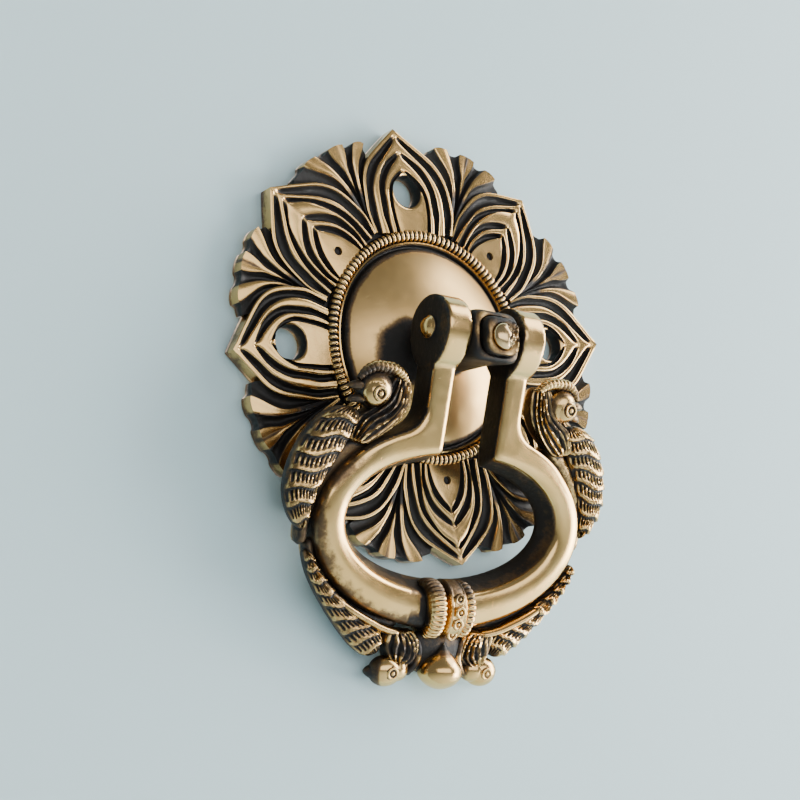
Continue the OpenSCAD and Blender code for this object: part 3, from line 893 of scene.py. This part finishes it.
# ---- materials
BRIGHT, DEEP = (0.80, 0.52, 0.21, 1), (0.74, 0.465, 0.17, 1)
PALE, BROWN, BLACK = (0.62, 0.57, 0.49, 1), (0.165, 0.105, 0.055, 1), (0.012, 0.010, 0.009, 1)


def feed(tree, socket, value):
    """Gives a socket a plain value, or links it to another node's output."""
    if isinstance(value, (tuple, float, int)):
        socket.default_value = value
    else:
        tree.links.new(value, socket)


def node(tree, kind, **settings):
    """A new node with its inputs and settings filled in by name."""
    n = tree.nodes.new(kind)
    for k, v in settings.items():
        if k in n.inputs:
            feed(tree, n.inputs[k], v)
        else:
            setattr(n, k, v)
    return n


def calc(tree, operation, a, b, clamp=False):
    """The output of a math node."""
    n = node(tree, "ShaderNodeMath", operation=operation, use_clamp=clamp)
    feed(tree, n.inputs[0], a)
    feed(tree, n.inputs[1], b)
    return n.outputs[0]


def brass(name, rough=0.2, pale=0):
    """Aged brass: polished where a buffing wheel reaches it, brown in between, nearly black in the cuts."""
    mat = bpy.data.materials.new(name)
    mat.use_nodes = True
    t = mat.node_tree
    t.nodes.clear()
    add, less, times = (partial(calc, t, kind) for kind in ("ADD", "SUBTRACT", "MULTIPLY"))
    place = node(t, "ShaderNodeTexCoord").outputs["Object"]

    def noise(scale, detail, at=place, broken=0.55):
        n = node(t, "ShaderNodeTexNoise", Scale=scale, Detail=detail, Roughness=broken, Vector=at)
        return n.outputs["Fac"]

    def ramp(value, low, high):
        n = node(t, "ShaderNodeMapRange", interpolation_type="SMOOTHSTEP", Value=value)
        n.inputs["From Min"].default_value, n.inputs["From Max"].default_value = low, high
        return n.outputs["Result"]

    def mix(fac, a, b):
        n = node(t, "ShaderNodeMix", data_type="RGBA")
        for i, v in ((0, fac), (6, a), (7, b)):
            feed(t, n.inputs[i], v)
        return n.outputs[2]

    def painted(layer):
        return node(t, "ShaderNodeAttribute", attribute_name=layer).outputs["Fac"]

    # patina, and painted shade where a piece's layer holds it: the cuts, broken up by blotches at their edges
    amount = add(painted("patina_and_shade"), times(less(noise(260, 5), 0.5), 0.55))
    amount = add(amount, times(less(noise(1500, 3), 0.5), 0.3))
    black = ramp(amount, 0.4, 0.72)
    brown = ramp(amount, 0.14, 0.46)
    gold = mix(pale, mix(ramp(noise(60, 3), 0.35, 0.65), BRIGHT, DEEP), PALE)
    colour = mix(black, mix(brown, gold, BROWN), BLACK)
    r = add(rough, times(less(noise(420, 4), 0.5), 0.14))
    r = add(add(r, times(brown, 0.12)), painted("satin"))
    r = add(r, times(black, 0.18), True)
    # relief: polishing scratches, pitting and a slow hand-worked unevenness
    stretched = node(t, "ShaderNodeMapping", Vector=place, Scale=(1, 0.4, 9)).outputs[0]
    h = add(times(noise(900, 2, stretched, 0.5), 0.04), times(noise(110, 3), 0.7))
    h = less(h, times(ramp(noise(600, 2), 0.68, 0.78), 0.12))
    h = add(h, times(times(noise(1100, 4), black), 1.1))
    bump = node(t, "ShaderNodeBump", Strength=1, Distance=0.00012, Height=h)
    bsdf = node(t, "ShaderNodeBsdfPrincipled", Roughness=r, Metallic=less(1, times(black, 0.75)))
    feed(t, bsdf.inputs["Base Color"], colour)
    feed(t, bsdf.inputs["Normal"], bump.outputs[0])
    node(t, "ShaderNodeOutputMaterial", Surface=bsdf.outputs[0])
    return mat


def set_point_layer(ob, values, name="patina_and_shade"):
    """Writes one value per point for the brass material: how dark it is, from patina or painted shade, or how
    satin.
    """
    layer = ob.data.attributes.new(name, "FLOAT", "POINT")
    layer.data.foreach_set("value", np.asarray(values, np.float32))


def points_of(ob):
    """The object's points in millimetres."""
    co = np.empty(len(ob.data.vertices) * 3, np.float32)
    ob.data.vertices.foreach_get("co", co)
    return co.reshape(-1, 3).astype(float) / MM


def finish_piece(ob, body, material, nodes):
    """Shading, material and body of one finished piece."""
    ob.data.materials.clear()
    ob.data.materials.append(material)
    ob.data.shade_smooth()
    ob.data.set_sharp_from_angle(angle=math.radians(40))
    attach(ob, body)
    if nodes:
        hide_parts(*nodes)


def rosette_patina_and_shade(ob):
    """Polished on top, black in the cuts, a painted shadow on the dome by the post, dull brown at the back."""
    p = points_of(ob)
    r = np.hypot(p[:, 0], p[:, 2])
    depth = p[:, 1] + PLATE_T
    v = smooth(0.06, 0.42, depth)
    v = np.where(r < DOME_R - 0.1, 0, v)
    v = np.where((r < DOME_R - 0.1) & (p[:, 1] > -8.5) & (depth > 0.3), 0.6, v)
    near = np.hypot(p[:, 0], p[:, 2] - STUD_Z)
    # dark close round the post, and more of it on the left: a painted shadow and dark reflection of the ring's
    # ear and the post on the dome
    v = np.maximum(v, 0.85 * (1 - smooth(6.2, 7.6, near)) * (r < DOME_R))
    # painted shadow: a dark oval on the dome left of the ear, with a wavering edge
    shade = np.hypot((p[:, 0] + 8) / 1.25, p[:, 2] + 3) + 0.7 * waver(p, 8)
    v = np.maximum(v, 0.9 * (1 - smooth(4.2, 8.4, shade)) * (r < DOME_R))
    v = np.maximum(v, 0.7 * smooth(DOME_R - 1.2, DOME_R - 0.2, r) * (r <= DOME_R + 0.1))
    # the back and the outer edge were never polished or blackened: dull brown
    back = smooth(-2.3, -1.7, p[:, 1])
    v = v * (1 - back) + (0.44 + 0.1 * waver(p, 12)) * back
    set_point_layer(ob, np.clip(v, 0, 1))
    set_point_layer(ob, 0.16 * (r < DOME_R), "satin")


def beads_patina(ob):
    """Dark between the beads and at the ring's foot."""
    p = points_of(ob)
    reach = np.hypot(np.hypot(p[:, 0], p[:, 2]) - BEAD_AT, p[:, 1] - BEAD_Y)
    set_point_layer(ob, np.maximum(1 - smooth(1.1, 1.3, reach), smooth(-4, -3.4, p[:, 1])))


def band_patina(ob):
    """Polished on the front, dark on the walls, in the marks of the collars and on the flanks of the ears."""
    p = unhung(points_of(ob))
    x, y, z = p.T
    # the walls behind the front, less so at the back
    behind = y - BAND_FRONT
    deep = 0.62 * smooth(0.8, 2, behind) + 0.3 * smooth(3, 6, behind)
    deep -= 0.4 * smooth(BAND_BACK - 0.5, BAND_BACK, y)
    # the flat sides of the ears, with a darker ring round the pin's head, and the side walls of the necks
    flank = smooth(2.6, 2.95, np.abs(np.abs(x) - 10.05)) * smooth(-9.5, -7, z)
    pin_ring = np.exp(-(((np.hypot(y, z) - 2.8) / 0.45) ** 2)) * flank
    v = np.maximum(deep * smooth(-8, -10, z), 0.66 * flank + 0.4 * pin_ring)
    v = np.maximum(v, 0.75 * (np.abs(np.abs(x) - 9.85) > 2.75) * (z > -27) * (y > BAND_FRONT + 0.5))
    # a rough brown border along the outside of the left half
    inward = -ellipse(x, z - BAND_Z, BAND_W, BAND_H)
    border = (1 - smooth(0.4, 4.2, inward + 0.7 * waver(p, 7) + 0.5 * waver(p, 2.2))) * smooth(-24, -30, z)
    v = np.maximum(v, 0.46 * border * smooth(2, -8, x))
    # the collars: dark in their marks and towards the top, and on the bar beside them
    carved = carved_patina(ob)
    marks = 0.36 + 0.9 * smooth(0.02, 0.3, carved) - 0.3 * smooth(0.02, 0.2, -carved)
    marks += 0.45 * smooth(-58, -54, z)
    bar = (x > -9.5) & (x < 7.2)
    v = np.where(bar & (z < -52.4), np.maximum(v * 0.4, marks), v)
    v = np.maximum(v, 0.7 * bar * smooth(-57, -62, z) * smooth(0.5, -5.5, x) * (x < -5.2))
    set_point_layer(ob, np.clip(v, 0, 1))


def birds_patina(ob):
    """Dark in the cuts, more so on the left, with polished cheeks and bud."""
    x, y, z = unhung(points_of(ob)).T
    carved = carved_patina(ob)
    v = 0.29 + smooth(0, 0.2, carved) * 0.7 - 0.25 * smooth(0.03, 0.3, -carved)
    v += 0.42 * smooth(-2.4, -0.8, y) - 0.45 * smooth(0.6, 2, y) + 0.2 * smooth(10, -10, x)
    faces = [(side, TOP_FACE, 3) for side in SIDES_TOP] + [(side, LOW_FACE, 3.6) for side in SIDES_LOW]
    for ((stretch, lift), face, r), shine in zip(faces, (0.05, 0.3, 0.3, 0.25)):
        far = np.hypot(x - stretch * face[0], z - lift - face[1])
        v -= shine * (1 - smooth(r - 0.6, r, far))
        v += 0.38 * smooth(r - 0.2, r + 0.4, far) * (1 - smooth(r + 2, r + 3.5, far))
    v -= 0.25 * (np.hypot(x - BUD_X, z + 72.4) < 5.2)
    v += 0.5 * (np.abs(x) < 6) * smooth(-69.5, -68, z) * smooth(-60, -62, z)
    set_point_layer(ob, np.clip(v, 0, 1))


def post_patina(ob):
    p = points_of(ob)
    rim = np.exp(-(((p[:, 1] + 28.45) / 0.3) ** 2))
    set_point_layer(ob, np.clip(0.85 - 0.35 * rim + 0.2 * waver(p, 5), 0, 1))


def nut_patina(ob):
    p = points_of(ob)
    worn = smooth(-30.1, -30.5, p[:, 1]) * smooth(2, -1, p[:, 2] - STUD_Z)
    set_point_layer(ob, np.clip(0.75 - 0.42 * worn + 0.3 * smooth(0.4, 1.6, np.abs(waver(p, 2.4))), 0, 1))


def stud_patina(ob):
    right = smooth(0.2, 0.8, points_of(ob)[:, 0])
    set_point_layer(ob, np.clip(0.05 + 0.9 * smooth(0.06, 0.3, carved_patina(ob)) + 0.3 * right, 0, 1))


def pin_patina(ob):
    x = points_of(ob)[:, 0] - PIN_AT[0]
    set_point_layer(ob, 0.75 * (1 - smooth(13.3, 13.75, np.abs(x))))


# ---- the pieces
def build_birds():
    """The four birds and the bud as one solid."""
    upper = [o for side in SIDES_TOP for o in bird_top(side)]
    lower = [o for side in SIDES_LOW for o in bird_low(side)]
    return join_solids("ring_birds", upper + lower + build_bud())


# (build, patina and painted shade, body, material, slot, the CAD nodes it stands for)
PIECES = [
    (build_rosette, rosette_patina_and_shade, "plate", brass("brass_rosette"), "rosette_brass", ["back_plate"]),
    (build_bead_ring, beads_patina, "plate", brass("brass_beads"), "rosette_brass", []),
    (build_ring_band, band_patina, "knocker", brass("brass_ring"), "ring_brass", ["knocker_ring"]),
    (build_birds, birds_patina, "knocker", brass("brass_birds"), "ring_brass", []),
    (build_post, post_patina, "plate", brass("brass_post", rough=0.32), "post_brass", ["hinge_post"]),
    (build_nut, nut_patina, "plate", brass("brass_nut", rough=0.3), "post_brass", ["post_nut"]),
    (build_stud, stud_patina, "plate", brass("worn_stud", pale=0.2), "stud_metal", ["post_stud"]),
    (build_pin, pin_patina, "knocker", brass("brass_pin", rough=0.25), "pin_brass", ["hinge_pin"]),
]
for build, patina_and_shade, body, material, slot, nodes in PIECES:
    piece = build()
    patina_and_shade(piece)
    finish_piece(piece, body, material, nodes)

fastener_metal = brass("fastener_metal", rough=0.34, pale=1)
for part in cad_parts.values():
    if not part.hide_render:
        part.data.materials.clear()
        part.data.materials.append(fastener_metal)

# ---- stage, light and camera
CLEAR_RAY = 0.0015     # a ray shorter than this, in metres, doesn't see the door


def stage_plane(name, corners, colour, see_through):
    """A plain plane; see_through makes it clear from behind and near the plate, so that the back shows."""
    mesh = bpy.data.meshes.new(name)
    mesh.from_pydata(corners, [], [(0, 1, 2, 3)])
    ob = placed(name, mesh)
    mat = bpy.data.materials.new(name)
    mat.use_nodes = True
    t = mat.node_tree
    bsdf = t.nodes["Principled BSDF"]
    bsdf.inputs["Base Color"].default_value = colour
    bsdf.inputs["Roughness"].default_value = 0.7
    if see_through:
        seen = node(t, "ShaderNodeNewGeometry").outputs
        away = node(t, "ShaderNodeVectorMath", operation="LENGTH", Vector=seen["Position"]).outputs["Value"]
        ray = node(t, "ShaderNodeLightPath").outputs["Ray Length"]
        clear_if = seen["Backfacing"]
        for value, limit in ((away, HOLLOW_R * MM), (ray, CLEAR_RAY)):
            clear_if = calc(t, "MAXIMUM", clear_if, calc(t, "LESS_THAN", value, limit))
        clear = node(t, "ShaderNodeBsdfTransparent")
        pick = node(t, "ShaderNodeMixShader")
        for i, v in enumerate((clear_if, bsdf.outputs[0], clear.outputs[0])):
            feed(t, pick.inputs[i], v)
        feed(t, t.nodes["Material Output"].inputs[0], pick.outputs[0])
    ob.data.materials.append(mat)


def area_light(name, at, towards, size, power, colour=(1, 1, 1)):
    data = bpy.data.lights.new(name, "AREA")
    data.shape = "RECTANGLE"
    data.size, data.size_y = size
    data.energy, data.color = power, colour
    ob = placed(name, data)
    ob.location = at
    ob.rotation_mode = "QUATERNION"
    ob.rotation_quaternion = (Vector(towards) - Vector(at)).to_track_quat("-Z", "Y")
    ob.visible_camera = False


WALL_BACK, FLOOR_Z, ROOM = 0.0004, -0.45, 2.5
stage_plane(
    "door_surface",
    [(x, WALL_BACK, z) for x, z in ((-ROOM, FLOOR_Z), (ROOM, FLOOR_Z), (ROOM, ROOM), (-ROOM, ROOM))],
    (0.62, 0.82, 0.86, 1), True)
stage_plane(
    "floor",
    [(x, y, FLOOR_Z) for x, y in ((-ROOM, -ROOM), (ROOM, -ROOM), (ROOM, ROOM), (-ROOM, ROOM))],
    (0.68, 0.72, 0.73, 1), False)

area_light("window", (0.96, -0.32, 0.06), (0, 0, 0), (0.5, 0.9), 18, (1, 0.99, 0.97))
area_light("key", (1, -0.5, 0.85), (0, 0, -0.02), (0.7, 0.7), 9, (1, 0.98, 0.95))
area_light("window_low", (0.94, -0.58, -0.33), (0, 0, -0.03), (0.36, 0.3), 3.4, (1, 0.99, 0.97))
area_light("fill", (0, -1.15, 0.18), (0, 0, 0), (1.5, 0.6), 6.5, (1, 0.99, 0.98))
area_light("behind", (0.3, 1.4, 0.8), (0, 0, 0), (1.8, 1.8), 20)

world = bpy.data.worlds.new("room")
world.use_nodes = True
world.node_tree.nodes["Background"].inputs[0].default_value = (0.62, 0.68, 0.72, 1)
world.node_tree.nodes["Background"].inputs[1].default_value = 0.32
bpy.context.scene.world = world

camera_data = bpy.data.cameras.new("camera")
camera_data.lens, camera_data.sensor_width = 60.07, 36.0
camera_data.clip_start, camera_data.clip_end = 0.01, 20
camera = placed("camera", camera_data)
camera.location = (-0.17396, -0.23778, -0.07218)
forward, up = Vector((0.5665, 0.799, 0.2016)), Vector((-0.1117, -0.1679, 0.9795))
right = forward.cross(up).normalized()
camera.rotation_mode = "QUATERNION"
axes = Matrix((right, right.cross(forward).normalized(), -forward.normalized()))
camera.rotation_quaternion = axes.transposed().to_quaternion()
bpy.context.scene.camera = camera
